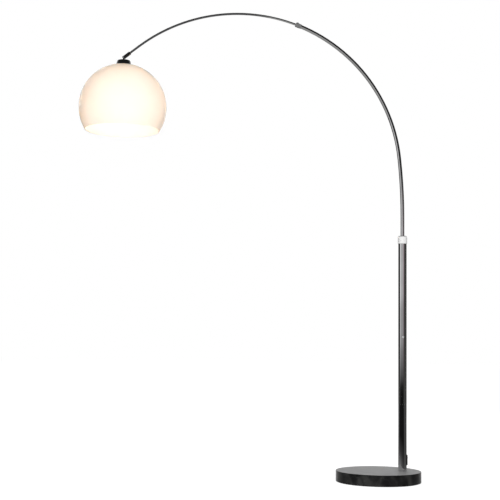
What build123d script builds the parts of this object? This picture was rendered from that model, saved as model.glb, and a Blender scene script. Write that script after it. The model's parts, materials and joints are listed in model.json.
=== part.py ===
from build123d import *
import math
import os

# Arc floor lamp: a round stone base, a chromed pole, a curved tube that slides and turns in
# the pole, a thinner curved arm that slides out of that tube, and a globe shade on the arm.
# Millimetres, +Z up. The origin is the middle of the base's underside, on the floor.
# The arm lies in the plane Y = 0: the pole stands at +X and the arm reaches towards -X.

# Clearances
SEAT = 0.02             # radial, between round pieces that are fixed together
RUN = 0.06              # radial, between a shaft and the bore that it turns or slides in
FREE_GAP = 0.4          # between faces that pass each other

# Base
BASE_RADIUS = 177.0
BASE_THICKNESS = 44.5
BASE_EDGE_RADIUS = 2.0
FELT_THICKNESS = 1.5
FELT_INSET = 5.0
BOLT_RADIUS = 5.0
BOLT_HEAD_WIDTH = 17.0
BOLT_HEAD_HEIGHT = 6.5
BOLT_HOLE_CLEARANCE = 0.5
WASHER_RADIUS = 15.0
WASHER_THICKNESS = 2.5
RECESS_CLEARANCE = 5.0
RECESS_SPARE_DEPTH = 2.0

# Pole
POLE_OFFSET = 100.0
POLE_RADIUS = 17.5
POLE_WALL = 1.5
POLE_LENGTH = 967.0
PLUG_HEIGHT = 18.0
BOLT_END_SETBACK = 2.0
COLLAR_RADIUS = 19.5
COLLAR_OVERLAP = 20.0
COLLAR_LIP = 8.0
COLLAR_ROUNDING = 1.2
COLLAR_FOOT_ROUNDING = 0.8
COLLAR_RING_INSET = 2.4
COLLAR_RING_HEIGHT = 2.8
COLLAR_RING_ROUNDING = 0.8
BUSH_LENGTH = 35.0
BUSH_FLANGE = 2.0
BUSH_NECK_RADIUS = 11.0
LOCK_SCREW_RADIUS = 2.5
LOCK_SCREW_RISE = 10.0
LOCK_SCREW_KEY_WIDTH = 2.5
LOCK_SCREW_KEY_DEPTH = 3.0
GUIDE_SCREW_HEIGHT = 554.0
GUIDE_SCREW_RADIUS = 2.5
GUIDE_SCREW_HEAD_RADIUS = 4.5
GUIDE_SCREW_HEAD_HEIGHT = 3.0
GUIDE_SCREW_HEAD_ROUNDING = 2.0
SCREW_SLOT_WIDTH = 0.9
SCREW_SLOT_DEPTH = 0.8

# Flex in the tubes, and the gland where it enters the pole
FLEX_RADIUS = 2.3
FLEX_BEND_RADIUS = 8.0
FLEX_END_GAP = 17.0
GLAND_HEIGHT = 36.0
GLAND_RADIUS = 6.0
GLAND_NECK_RADIUS = 4.4
GLAND_FLANGE = 2.0

# Switch
SWITCH_HEIGHT = 45.5
SWITCH_PLATE_WIDTH = 18.0
SWITCH_PLATE_TALL = 42.0
SWITCH_PLATE_PROUD = 3.0
SWITCH_PLATE_ROUNDING = 1.2
SWITCH_BODY_WIDTH = 15.0
SWITCH_BODY_TALL = 34.0
SWITCH_BODY_DEPTH = 12.5
ROCKER_WIDTH = 10.0
ROCKER_TALL = 26.0
ROCKER_DISH = 1.0
ROCKER_SINK = 1.0
ROCKER_HEEL = 3.0
ROCKER_EDGE = 3.0
ROCKER_TILT = 7.0       # degrees either side of level
ROCKER_PIVOT_DEPTH = 6.0
ROCKER_PIVOT_RADIUS = 1.5
ROCKER_PIVOT_LENGTH = 13.4
ROCKER_WELL_FLOOR = 4.0

# Curved tubes
ARC_RADIUS = 694.0
LEAD_RADIUS = 2400.0
LEAD_ANGLE = 6.0        # degrees of the gentle bend between the straight riser and the arc
RISER_LENGTH = 84.0     # straight tube above the collar
ARC_TUBE_RADIUS = 8.0
ARC_TUBE_WALL = 1.5
ARC_TUBE_END = 68.3     # degrees round the arc, from level at the pole's side
ARM_RADIUS = 4.8
ARM_WALL = 1.0
ARM_INNER_END = 41.0    # degrees
ARM_BEND_END = 128.0    # degrees
ARM_TAIL = 48.5

# Travel
HEIGHT_UP = 80.0
HEIGHT_DOWN = 70.0
REACH_IN = 32.0         # degrees

# Guide on the curved tube's foot
GUIDE_END_WALL = 15.0
GUIDE_SLOT_CLEARANCE = 0.5
RING_THICKNESS = 5.0
RING_POLE_GAP = 0.8
TUBE_FOOT = 12.0        # tube below the lower ring
FOOT_BUSH_LENGTH = 10.0
FOOT_BUSH_LIP = 2.0
FOOT_BUSH_LIP_RADIUS = 8.0

# Clamp at the mouth of the wider tube
CLAMP_FRONT = 14.0
CLAMP_REAR = 13.0
CLAMP_RADIUS = 10.0
CLAMP_REAR_WALL = 0.8
CLAMP_TUBE_CLEARANCE = 0.2
CLAMP_FRONT_WALL = 1.5
CLAMP_BUSH_RADIUS = 7.5
CLAMP_BUSH_LENGTH = 20.0
CLAMP_FRONT_ROUNDING = 1.0
CLAMP_SCREW_SETBACK = 6.5
CLAMP_SCREW_RADIUS = 2.0
CLAMP_SCREW_HEAD_RADIUS = 3.2
CLAMP_SCREW_HEAD_HEIGHT = 1.6
CLAMP_SCREW_HEAD_ROUNDING = 0.6
STOP_LENGTH = 15.0
STOP_END_WALL = 3.0
STOP_RUN = 0.1

# Ferrule and hinge at the arm's end
FERRULE_RADIUS = 7.6
FERRULE_LENGTH = 39.0
FERRULE_SOCKET = 22.0
FERRULE_TAPER_LENGTH = 3.0
FERRULE_NOSE_RADIUS = 6.2
FERRULE_EDGE = 0.6
HINGE_SETBACK = 5.0
HINGE_SLOT_WIDTH = 7.6
HINGE_SLOT_SPARE = 0.8
PIN_RADIUS = 1.5
PIN_HALF_LENGTH = 7.2
TONGUE_RADIUS = 4.0
TONGUE_THICKNESS = 3.0
HINGE_BOSS_RADIUS = 3.0
HINGE_BOSS_WIDTH = 7.0
SHOULDER_RADIUS = 8.0
SHOULDER_THICKNESS = 1.2
HINGE_TO_SHOULDER = 12.0
STEM_RADIUS = 5.0
WIRE_WAY_RADIUS = 1.1
WIRE_WAY_OFFSET = 3.3

# Shade and cap
SHADE_RADIUS = 186.75
SHADE_WALL = 2.5
SHADE_HOLE_RADIUS = 21.0
SHADE_MOUTH_DROP = 98.5
SHADE_LIP_ROUNDING = 1.0
CAP_RIM_RADIUS = 33.3
CAP_TOP_RADIUS = 27.8
CAP_HEIGHT = 20.2
CAP_WALL = 2.0
CAP_ROUNDING = 4.5

# Lampholder
HOLDER_RADIUS = 20.0
HOLDER_WALL = 3.2
HOLDER_FLANGE_RADIUS = 25.0
HOLDER_FLANGE = 2.5
HOLDER_SKIRT = 38.0
HOLDER_SHOULDER = 3.0
HOLDER_DOME_RADIUS = 15.0
HOLDER_DOME_CEILING = 6.0
HOLDER_LEDGE = 2.5
CORE_THICKNESS = 9.0
CORE_TERMINAL_RADIUS = 1.6
CORE_TERMINAL_OFFSET = 9.0
SHADE_RING_RADIUS = 27.0
SHADE_RING_HEIGHT = 7.0
SHADE_RING_GRIPS = 12
SHADE_RING_GRIP_RADIUS = 1.6
SCREW_SHELL_LENGTH = 22.0
SCREW_SHELL_WALL = 0.9
CONTACT_RADIUS = 4.0
CONTACT_HEIGHT = 2.0

# Bulb
BULB_CAP_RADIUS = 13.2
BULB_CAP_LENGTH = 27.0
BULB_CAP_WALL = 0.8
BULB_CAP_CLEARANCE = 0.3
BULB_TIP_RADIUS = 4.5
BULB_TIP_HEIGHT = 2.5
BULB_INSULATOR_RADIUS = 9.5
BULB_INSULATOR_HEIGHT = 3.0
BULB_RADIUS = 30.0
BULB_DROP = 46.0        # from the cap's open end down to the globe's middle
BULB_NECK_OVERLAP = 10.0
BULB_BLEND_RADIUS = 26.0
BULB_WALL = 1.0

# Heights and places that follow from the sizes above
base_top = FELT_THICKNESS + BASE_THICKNESS
recess_depth = RECESS_SPARE_DEPTH + BOLT_HEAD_HEIGHT + WASHER_THICKNESS
recess_top = FELT_THICKNESS + recess_depth
washer_bottom = recess_top - WASHER_THICKNESS
bolt_hole_radius = BOLT_RADIUS + BOLT_HOLE_CLEARANCE

pole_bore = POLE_RADIUS - POLE_WALL
pole_top = base_top + POLE_LENGTH
collar_bottom = pole_top - COLLAR_OVERLAP
collar_seat = pole_top + BUSH_FLANGE
collar_top = collar_seat + COLLAR_LIP
lock_screw_z = collar_bottom + LOCK_SCREW_RISE
guide_screw_z = base_top + GUIDE_SCREW_HEIGHT
gland_z = base_top + GLAND_HEIGHT
gland_inner_face = math.sqrt(pole_bore**2 - GLAND_RADIUS**2)

switch_z = base_top + SWITCH_HEIGHT
switch_face = POLE_RADIUS + SWITCH_PLATE_PROUD
rocker_pivot = switch_face - ROCKER_PIVOT_DEPTH
switch_back = switch_face - SWITCH_PLATE_PROUD - SWITCH_BODY_DEPTH
rocker_well = switch_back + ROCKER_WELL_FLOOR

arc_tube_bore = ARC_TUBE_RADIUS - ARC_TUBE_WALL
arm_bore = ARM_RADIUS - ARM_WALL
slot_bottom = guide_screw_z - HEIGHT_UP - GUIDE_SCREW_RADIUS - GUIDE_SLOT_CLEARANCE
slot_top = guide_screw_z + HEIGHT_DOWN + GUIDE_SCREW_RADIUS + GUIDE_SLOT_CLEARANCE
guide_bottom = slot_bottom - GUIDE_END_WALL
guide_top = slot_top + GUIDE_END_WALL
tube_bottom = guide_bottom - FREE_GAP - RING_THICKNESS - TUBE_FOOT
riser_top = collar_top + RISER_LENGTH

lead_turn = math.radians(LEAD_ANGLE)
lead_centre_x = POLE_OFFSET - LEAD_RADIUS
arc_x = lead_centre_x + (LEAD_RADIUS - ARC_RADIUS) * math.cos(lead_turn)
arc_z = riser_top + (LEAD_RADIUS - ARC_RADIUS) * math.sin(lead_turn)


def front_plane(x, z):
    """The upright plane Y = 0 with its middle at (x, z): sketch x is +X and sketch y is +Z."""
    return Plane(origin=(x, 0, z), x_dir=(1, 0, 0), z_dir=(0, -1, 0))


def arc_direction(angle):
    """Unit vectors at an angle round the arc: outwards from its middle, and along the arm."""
    turn = math.radians(angle)
    outward = Vector(math.cos(turn), 0, math.sin(turn))
    along = Vector(-math.sin(turn), 0, math.cos(turn))
    return outward, along


def arc_point(angle):
    """The point of the tubes' centreline at an angle round the arc."""
    outward, _ = arc_direction(angle)
    return Vector(arc_x, 0, arc_z) + outward * ARC_RADIUS


def arc_plane(angle):
    """The plane square to the tubes at an angle round the arc."""
    outward, along = arc_direction(angle)
    return Plane(origin=arc_point(angle), x_dir=outward, z_dir=along)


def arc_turn(length):
    """The angle that a length along the arc takes up, in degrees."""
    return math.degrees(length / ARC_RADIUS)


def outline_face(plane, points):
    """A closed straight-sided outline on a plane."""
    with BuildSketch(plane) as outline:
        with BuildLine():
            Polyline(*points, close=True)
        make_face()
    return outline.sketch


def save(piece, name):
    """Label a finished piece and write it as its own STEP file."""
    piece.part.label = name
    export_step(piece.part, f"parts/{name}.step")


os.makedirs("parts", exist_ok=True)

pole_axis = Axis((POLE_OFFSET, 0, 0), (0, 0, 1))
pole_section = front_plane(POLE_OFFSET, 0)
arc_axis = Axis((arc_x, 0, arc_z), (0, -1, 0))


def pole_level(z):
    """The level plane at a height, with its middle on the pole's axis."""
    return Plane(origin=(POLE_OFFSET, 0, z), x_dir=(1, 0, 0), z_dir=(0, 0, 1))


def pole_rear(z):
    """The plane through the pole's axis that faces the rear, +Y."""
    return Plane(origin=(POLE_OFFSET, 0, z), x_dir=(-1, 0, 0), z_dir=(0, 1, 0))


switch_plane = Plane(origin=(POLE_OFFSET, 0, switch_z), x_dir=(0, 1, 0), z_dir=(1, 0, 0))

# Felt under the base
with BuildPart() as felt_pad:
    with BuildSketch():
        Circle(BASE_RADIUS - FELT_INSET)
    extrude(amount=FELT_THICKNESS)
save(felt_pad, "felt_pad")

# Stone base with the bolt's recess underneath
with BuildPart() as marble_base:
    with BuildSketch(Plane.XY.offset(FELT_THICKNESS)):
        Circle(BASE_RADIUS)
    extrude(amount=BASE_THICKNESS)
    fillet(marble_base.edges().filter_by(GeomType.CIRCLE), BASE_EDGE_RADIUS)
    with BuildSketch(pole_level(FELT_THICKNESS)):
        Circle(WASHER_RADIUS + RECESS_CLEARANCE)
    extrude(amount=recess_depth, mode=Mode.SUBTRACT)
    with BuildSketch(pole_level(recess_top)):
        Circle(bolt_hole_radius)
    extrude(until=Until.LAST, mode=Mode.SUBTRACT)
save(marble_base, "marble_base")

# Washer and bolt that pull the pole down on the base
with BuildPart() as base_washer:
    with BuildSketch(pole_level(washer_bottom)):
        Circle(WASHER_RADIUS)
        Circle(bolt_hole_radius, mode=Mode.SUBTRACT)
    extrude(amount=WASHER_THICKNESS)
save(base_washer, "base_washer")

with BuildPart() as base_bolt:
    with BuildSketch(pole_level(washer_bottom)):
        RegularPolygon(BOLT_HEAD_WIDTH / 2, 6, major_radius=False)
    extrude(amount=-BOLT_HEAD_HEIGHT)
    with BuildSketch(pole_level(washer_bottom)):
        Circle(BOLT_RADIUS)
    extrude(amount=base_top + PLUG_HEIGHT - BOLT_END_SETBACK - washer_bottom)
save(base_bolt, "base_bolt")

# Threaded plug in the pole's foot
with BuildPart() as pole_plug:
    with BuildSketch(pole_level(base_top)):
        Circle(pole_bore - SEAT)
        Circle(BOLT_RADIUS + SEAT, mode=Mode.SUBTRACT)
    extrude(amount=PLUG_HEIGHT)
save(pole_plug, "pole_plug")

# Pole tube with the switch's window and the holes for gland, guide screw and lock screw
with BuildPart() as pole_tube:
    with BuildSketch(pole_level(base_top)):
        Circle(POLE_RADIUS)
        Circle(pole_bore, mode=Mode.SUBTRACT)
    extrude(amount=POLE_LENGTH)
    with BuildSketch(switch_plane):
        Rectangle(SWITCH_BODY_WIDTH + 2 * SEAT, SWITCH_BODY_TALL + 2 * SEAT)
    extrude(amount=2 * POLE_RADIUS, mode=Mode.SUBTRACT)
    with BuildSketch(pole_rear(gland_z)):
        Circle(GLAND_NECK_RADIUS + SEAT)
    extrude(amount=2 * POLE_RADIUS, mode=Mode.SUBTRACT)
    with BuildSketch(pole_rear(lock_screw_z)):
        Circle(LOCK_SCREW_RADIUS + SEAT)
    extrude(amount=2 * POLE_RADIUS, mode=Mode.SUBTRACT)
    with BuildSketch(front_plane(POLE_OFFSET, guide_screw_z)):
        Circle(GUIDE_SCREW_RADIUS + SEAT)
    extrude(amount=2 * POLE_RADIUS, mode=Mode.SUBTRACT)
save(pole_tube, "pole_tube")

# Flanged bush in the pole's top, which the curved tube slides and turns in
with BuildPart() as collar_bush:
    tube_way = ARC_TUBE_RADIUS + RUN
    revolve(outline_face(pole_section, [
        (tube_way, pole_top - BUSH_LENGTH),
        (pole_bore - SEAT, pole_top - BUSH_LENGTH),
        (pole_bore - SEAT, pole_top),
        (POLE_RADIUS, pole_top),
        (POLE_RADIUS, collar_seat),
        (BUSH_NECK_RADIUS, collar_seat),
        (BUSH_NECK_RADIUS, collar_top),
        (tube_way, collar_top),
    ]), axis=pole_axis)
    with BuildSketch(pole_rear(lock_screw_z)):
        Circle(LOCK_SCREW_RADIUS + SEAT)
    extrude(amount=2 * POLE_RADIUS, mode=Mode.SUBTRACT)
save(collar_bush, "collar_bush")

# Collar over the pole's top, with a rounded shoulder
with BuildPart() as pole_collar:
    revolve(outline_face(pole_section, [
        (POLE_RADIUS + SEAT, collar_bottom),
        (COLLAR_RADIUS, collar_bottom),
        (COLLAR_RADIUS, collar_top),
        (BUSH_NECK_RADIUS + SEAT, collar_top),
        (BUSH_NECK_RADIUS + SEAT, collar_seat),
        (POLE_RADIUS + SEAT, collar_seat),
    ]), axis=pole_axis)
    collar_rims = pole_collar.edges().filter_by(GeomType.CIRCLE).sort_by(SortBy.RADIUS)[-2:].sort_by(Axis.Z)
    fillet(collar_rims[0], COLLAR_FOOT_ROUNDING)
    top_rim = pole_collar.edges().filter_by(GeomType.CIRCLE).group_by(Axis.Z)[-1].sort_by(SortBy.RADIUS)[-1]
    fillet(top_rim, COLLAR_ROUNDING)
    with BuildSketch(pole_rear(lock_screw_z)):
        Circle(LOCK_SCREW_RADIUS + SEAT)
    extrude(amount=2 * COLLAR_RADIUS, mode=Mode.SUBTRACT)
save(pole_collar, "pole_collar")

# Ring that keeps the bush down in the collar
with BuildPart() as collar_ring:
    with BuildSketch(pole_level(collar_top)):
        Circle(COLLAR_RADIUS - COLLAR_RING_INSET)
        Circle(ARC_TUBE_RADIUS + FREE_GAP, mode=Mode.SUBTRACT)
    extrude(amount=COLLAR_RING_HEIGHT)
    ring_rim = collar_ring.edges().filter_by(GeomType.CIRCLE).group_by(Axis.Z)[-1].sort_by(SortBy.RADIUS)[-1]
    fillet(ring_rim, COLLAR_RING_ROUNDING)
save(collar_ring, "collar_ring")

# Grub screw behind the collar that sets how firmly the bush grips
with BuildPart() as lock_screw:
    with BuildSketch(pole_rear(lock_screw_z).offset(ARC_TUBE_RADIUS + FREE_GAP)):
        Circle(LOCK_SCREW_RADIUS)
    extrude(amount=COLLAR_RADIUS - ARC_TUBE_RADIUS - FREE_GAP)
    with BuildSketch(pole_rear(lock_screw_z).offset(COLLAR_RADIUS)):
        RegularPolygon(LOCK_SCREW_KEY_WIDTH / 2, 6, major_radius=False)
    extrude(amount=-LOCK_SCREW_KEY_DEPTH, mode=Mode.SUBTRACT)
save(lock_screw, "lock_screw")

# Screw at the pole's front whose tip runs in the guide's slot
with BuildPart() as guide_screw:
    guide_screw_plane = front_plane(POLE_OFFSET, guide_screw_z)
    with BuildSketch(guide_screw_plane.offset(POLE_RADIUS)):
        Circle(GUIDE_SCREW_HEAD_RADIUS)
    extrude(amount=GUIDE_SCREW_HEAD_HEIGHT)
    fillet(guide_screw.faces().sort_by(Axis.Y)[0].edges(), GUIDE_SCREW_HEAD_ROUNDING)
    with BuildSketch(guide_screw_plane.offset(ARC_TUBE_RADIUS + FREE_GAP)):
        Circle(GUIDE_SCREW_RADIUS)
    extrude(amount=POLE_RADIUS - ARC_TUBE_RADIUS - FREE_GAP)
    with BuildSketch(guide_screw_plane.offset(POLE_RADIUS + GUIDE_SCREW_HEAD_HEIGHT)):
        Rectangle(2 * GUIDE_SCREW_HEAD_RADIUS, SCREW_SLOT_WIDTH)
    extrude(amount=-SCREW_SLOT_DEPTH, mode=Mode.SUBTRACT)
save(guide_screw, "guide_screw")

# Rubber gland behind the pole's foot, where the mains lead enters
with BuildPart() as cable_gland:
    with BuildSketch(pole_rear(gland_z).offset(POLE_RADIUS)):
        Circle(GLAND_RADIUS)
    extrude(amount=GLAND_FLANGE)
    with BuildSketch(pole_rear(gland_z).offset(gland_inner_face)):
        Circle(GLAND_NECK_RADIUS)
    extrude(amount=POLE_RADIUS - gland_inner_face)
    with BuildSketch(pole_rear(gland_z).offset(gland_inner_face)):
        Circle(GLAND_RADIUS)
    extrude(amount=-GLAND_FLANGE)
    with BuildSketch(pole_rear(gland_z)):
        Circle(FLEX_RADIUS + SEAT)
    extrude(until=Until.LAST, mode=Mode.SUBTRACT)
save(cable_gland, "cable_gland")

# Flex from the gland up the pole, as far as the lowest place of the curved tube's foot
with BuildPart() as pole_flex:
    flex_top = tube_bottom - FOOT_BUSH_LIP - HEIGHT_DOWN - FLEX_END_GAP
    flex_bend_top = gland_z + FLEX_BEND_RADIUS
    with BuildLine(Plane.YZ.offset(POLE_OFFSET)):
        Line((POLE_RADIUS, gland_z), (FLEX_BEND_RADIUS, gland_z))
        CenterArc((FLEX_BEND_RADIUS, flex_bend_top), FLEX_BEND_RADIUS, 270, -90)
        Line((0, flex_bend_top), (0, flex_top))
    with BuildSketch(pole_rear(gland_z).offset(POLE_RADIUS)):
        Circle(FLEX_RADIUS)
    sweep()
save(pole_flex, "pole_flex")

# Switch housing, saddled on the pole's right side
with BuildPart() as switch_housing:
    with BuildSketch(switch_plane):
        Rectangle(SWITCH_PLATE_WIDTH, SWITCH_PLATE_TALL)
    extrude(amount=switch_face)
    fillet(switch_housing.faces().sort_by(Axis.X)[-1].edges(), SWITCH_PLATE_ROUNDING)
    with BuildSketch(pole_level(switch_z)):
        Circle(POLE_RADIUS + SEAT)
    extrude(amount=SWITCH_PLATE_TALL, both=True, mode=Mode.SUBTRACT)
    with BuildSketch(switch_plane.offset(switch_back)):
        Rectangle(SWITCH_BODY_WIDTH, SWITCH_BODY_TALL)
    extrude(amount=POLE_RADIUS - switch_back)
    with BuildSketch(switch_plane.offset(rocker_well)):
        Rectangle(
            ROCKER_WIDTH + 2 * FREE_GAP,
            ROCKER_TALL + 2 * ROCKER_PIVOT_DEPTH * math.sin(math.radians(ROCKER_TILT)) + 2 * FREE_GAP,
        )
    extrude(amount=switch_face - rocker_well, mode=Mode.SUBTRACT)
    with BuildSketch(front_plane(POLE_OFFSET + rocker_pivot, switch_z)):
        Circle(ROCKER_PIVOT_RADIUS + RUN)
    extrude(amount=ROCKER_PIVOT_LENGTH / 2 + FREE_GAP, both=True, mode=Mode.SUBTRACT)
save(switch_housing, "switch_housing")

# Rocker, drawn with its lower end pressed
with BuildPart() as switch_rocker:
    tilt = math.radians(ROCKER_TILT)
    rocker_plane = Plane(
        origin=(POLE_OFFSET + rocker_pivot, 0, switch_z),
        x_dir=(math.cos(tilt), 0, -math.sin(tilt)),
        z_dir=(0, -1, 0),
    )
    rocker_crest = ROCKER_PIVOT_DEPTH - ROCKER_SINK + ROCKER_DISH
    extrude(outline_face(rocker_plane, [
        (rocker_crest, ROCKER_TALL / 2),
        (rocker_crest - ROCKER_DISH, 0),
        (rocker_crest, -ROCKER_TALL / 2),
        (rocker_crest - ROCKER_EDGE, -ROCKER_TALL / 2),
        (-ROCKER_HEEL, -ROCKER_HEEL),
        (-ROCKER_HEEL, ROCKER_HEEL),
        (rocker_crest - ROCKER_EDGE, ROCKER_TALL / 2),
    ]), amount=ROCKER_WIDTH / 2, both=True)
    with BuildSketch(rocker_plane):
        Circle(ROCKER_PIVOT_RADIUS)
    extrude(amount=ROCKER_PIVOT_LENGTH / 2, both=True)
save(switch_rocker, "switch_rocker")

# Guide sleeve on the curved tube's foot: it slides in the pole and its slot keeps it from turning
with BuildPart() as slide_guide:
    with BuildSketch(pole_level(guide_bottom)):
        Circle(pole_bore - RUN)
        Circle(ARC_TUBE_RADIUS + RUN, mode=Mode.SUBTRACT)
    extrude(amount=guide_top - guide_bottom)
    with BuildSketch(front_plane(POLE_OFFSET, (slot_bottom + slot_top) / 2)):
        SlotOverall(slot_top - slot_bottom, 2 * (GUIDE_SCREW_RADIUS + GUIDE_SLOT_CLEARANCE), rotation=90)
    extrude(amount=pole_bore, mode=Mode.SUBTRACT)
save(slide_guide, "slide_guide")

# Rings fixed on the tube above and below the guide
with BuildPart() as guide_rings:
    for ring_bottom in (guide_bottom - FREE_GAP - RING_THICKNESS, guide_top + FREE_GAP):
        with BuildSketch(pole_level(ring_bottom)):
            Circle(pole_bore - RING_POLE_GAP)
            Circle(ARC_TUBE_RADIUS + SEAT, mode=Mode.SUBTRACT)
        extrude(amount=RING_THICKNESS)
save(guide_rings, "guide_rings")

# Wider tube: a straight foot and riser, a gentle lead-in bend, then the arc
with BuildPart() as arc_lower_tube:
    with BuildLine(Plane.XZ):
        Line((POLE_OFFSET, tube_bottom), (POLE_OFFSET, riser_top))
        CenterArc((lead_centre_x, riser_top), LEAD_RADIUS, 0, LEAD_ANGLE)
        CenterArc((arc_x, arc_z), ARC_RADIUS, LEAD_ANGLE, ARC_TUBE_END - LEAD_ANGLE)
    with BuildSketch(pole_level(tube_bottom)):
        Circle(ARC_TUBE_RADIUS)
        Circle(arc_tube_bore, mode=Mode.SUBTRACT)
    sweep()
save(arc_lower_tube, "arc_lower_tube")

# Bush in the tube's foot that holds the flex
with BuildPart() as foot_bush:
    revolve(outline_face(pole_section, [
        (FLEX_RADIUS + SEAT, tube_bottom - FOOT_BUSH_LIP),
        (FOOT_BUSH_LIP_RADIUS, tube_bottom - FOOT_BUSH_LIP),
        (FOOT_BUSH_LIP_RADIUS, tube_bottom),
        (arc_tube_bore - SEAT, tube_bottom),
        (arc_tube_bore - SEAT, tube_bottom + FOOT_BUSH_LENGTH),
        (FLEX_RADIUS + SEAT, tube_bottom + FOOT_BUSH_LENGTH),
    ]), axis=pole_axis)
save(foot_bush, "foot_bush")

# Flex in the wider tube, from its foot to where the arm's inner end comes when pushed in
stop_back = ARM_INNER_END - arc_turn(STOP_END_WALL)
with BuildPart() as arc_flex:
    arc_flex_end = stop_back - REACH_IN - arc_turn(FLEX_END_GAP)
    with BuildLine(Plane.XZ):
        Line((POLE_OFFSET, tube_bottom - FOOT_BUSH_LIP), (POLE_OFFSET, riser_top))
        CenterArc((lead_centre_x, riser_top), LEAD_RADIUS, 0, LEAD_ANGLE)
        CenterArc((arc_x, arc_z), ARC_RADIUS, LEAD_ANGLE, arc_flex_end - LEAD_ANGLE)
    with BuildSketch(pole_level(tube_bottom - FOOT_BUSH_LIP)):
        Circle(FLEX_RADIUS)
    sweep()
save(arc_flex, "arc_flex")

# Clamp on the wider tube's mouth, turned about the tube's direction there
mouth = arc_point(ARC_TUBE_END)
mouth_outward, mouth_along = arc_direction(ARC_TUBE_END)
mouth_section = Plane(origin=mouth, x_dir=mouth_along, z_dir=(0, 1, 0))
mouth_axis = Axis(mouth, mouth_along)
clamp_tube_way = ARC_TUBE_RADIUS + CLAMP_TUBE_CLEARANCE
clamp_screw_plane = Plane(
    origin=mouth + mouth_along * (CLAMP_FRONT - CLAMP_SCREW_SETBACK),
    x_dir=mouth_along,
    z_dir=mouth_outward,
)
with BuildPart() as arm_clamp:
    revolve(outline_face(mouth_section, [
        (-CLAMP_REAR, clamp_tube_way),
        (-CLAMP_REAR, clamp_tube_way + CLAMP_REAR_WALL),
        (0, CLAMP_RADIUS),
        (CLAMP_FRONT, CLAMP_RADIUS),
        (CLAMP_FRONT, ARM_RADIUS + FREE_GAP),
        (CLAMP_FRONT - CLAMP_FRONT_WALL, ARM_RADIUS + FREE_GAP),
        (CLAMP_FRONT - CLAMP_FRONT_WALL, CLAMP_BUSH_RADIUS + SEAT),
        (0, CLAMP_BUSH_RADIUS + SEAT),
        (0, clamp_tube_way),
    ]), axis=mouth_axis)
    front_rim = arm_clamp.edges().filter_by(GeomType.CIRCLE).group_by(mouth_axis)[-1].sort_by(SortBy.RADIUS)[-1]
    fillet(front_rim, CLAMP_FRONT_ROUNDING)
    with BuildSketch(clamp_screw_plane):
        Circle(CLAMP_SCREW_RADIUS + RUN)
    extrude(amount=2 * CLAMP_RADIUS, mode=Mode.SUBTRACT)
save(arm_clamp, "arm_clamp")

# Bush in the mouth that the arm slides through: its bore follows the arc
with BuildPart() as clamp_bush:
    bush_front = CLAMP_FRONT - CLAMP_FRONT_WALL
    with BuildSketch(arc_plane(ARC_TUBE_END)):
        Circle(CLAMP_BUSH_RADIUS)
    extrude(amount=bush_front)
    with BuildSketch(arc_plane(ARC_TUBE_END)):
        Circle(arc_tube_bore - SEAT)
    revolve(axis=arc_axis, revolution_arc=-arc_turn(CLAMP_BUSH_LENGTH))
    bush_cut_start = ARC_TUBE_END - arc_turn(2 * CLAMP_BUSH_LENGTH)
    bush_cut_end = ARC_TUBE_END + arc_turn(2 * bush_front)
    with BuildSketch(arc_plane(bush_cut_start)):
        Circle(ARM_RADIUS + RUN)
    revolve(axis=arc_axis, revolution_arc=bush_cut_end - bush_cut_start, mode=Mode.SUBTRACT)
    with BuildSketch(clamp_screw_plane):
        Circle(CLAMP_SCREW_RADIUS + RUN)
    extrude(amount=2 * CLAMP_RADIUS, mode=Mode.SUBTRACT)
save(clamp_bush, "clamp_bush")

# Slotted screw on the clamp's upper side
with BuildPart() as clamp_screw:
    screw_head = CLAMP_RADIUS + FREE_GAP
    with BuildSketch(clamp_screw_plane.offset(screw_head)):
        Circle(CLAMP_SCREW_HEAD_RADIUS)
    extrude(amount=CLAMP_SCREW_HEAD_HEIGHT)
    screw_axis = Axis(clamp_screw_plane.origin, mouth_outward)
    fillet(clamp_screw.faces().sort_by(screw_axis)[-1].edges(), CLAMP_SCREW_HEAD_ROUNDING)
    with BuildSketch(clamp_screw_plane.offset(ARM_RADIUS + FREE_GAP)):
        Circle(CLAMP_SCREW_RADIUS)
    extrude(amount=screw_head - ARM_RADIUS - FREE_GAP)
    with BuildSketch(clamp_screw_plane.offset(screw_head + CLAMP_SCREW_HEAD_HEIGHT)):
        Rectangle(2 * CLAMP_SCREW_HEAD_RADIUS, SCREW_SLOT_WIDTH)
    extrude(amount=-SCREW_SLOT_DEPTH, mode=Mode.SUBTRACT)
save(clamp_screw, "clamp_screw")

# Arm: a thin tube on the same arc, ending in a straight tail inside the ferrule
tail_start = arc_point(ARM_BEND_END)
_, tail_along = arc_direction(ARM_BEND_END)
ferrule_start = tail_start + tail_along * ARM_TAIL
arm_end = ferrule_start + tail_along * FERRULE_SOCKET
hinge = ferrule_start + tail_along * (FERRULE_LENGTH - HINGE_SETBACK)
with BuildPart() as arc_upper_tube:
    with BuildLine(Plane.XZ):
        CenterArc((arc_x, arc_z), ARC_RADIUS, ARM_INNER_END, ARM_BEND_END - ARM_INNER_END)
        Line((tail_start.X, tail_start.Z), (arm_end.X, arm_end.Z))
    with BuildSketch(arc_plane(ARM_INNER_END)):
        Circle(ARM_RADIUS)
        Circle(arm_bore, mode=Mode.SUBTRACT)
    sweep()
save(arc_upper_tube, "arc_upper_tube")

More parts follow.
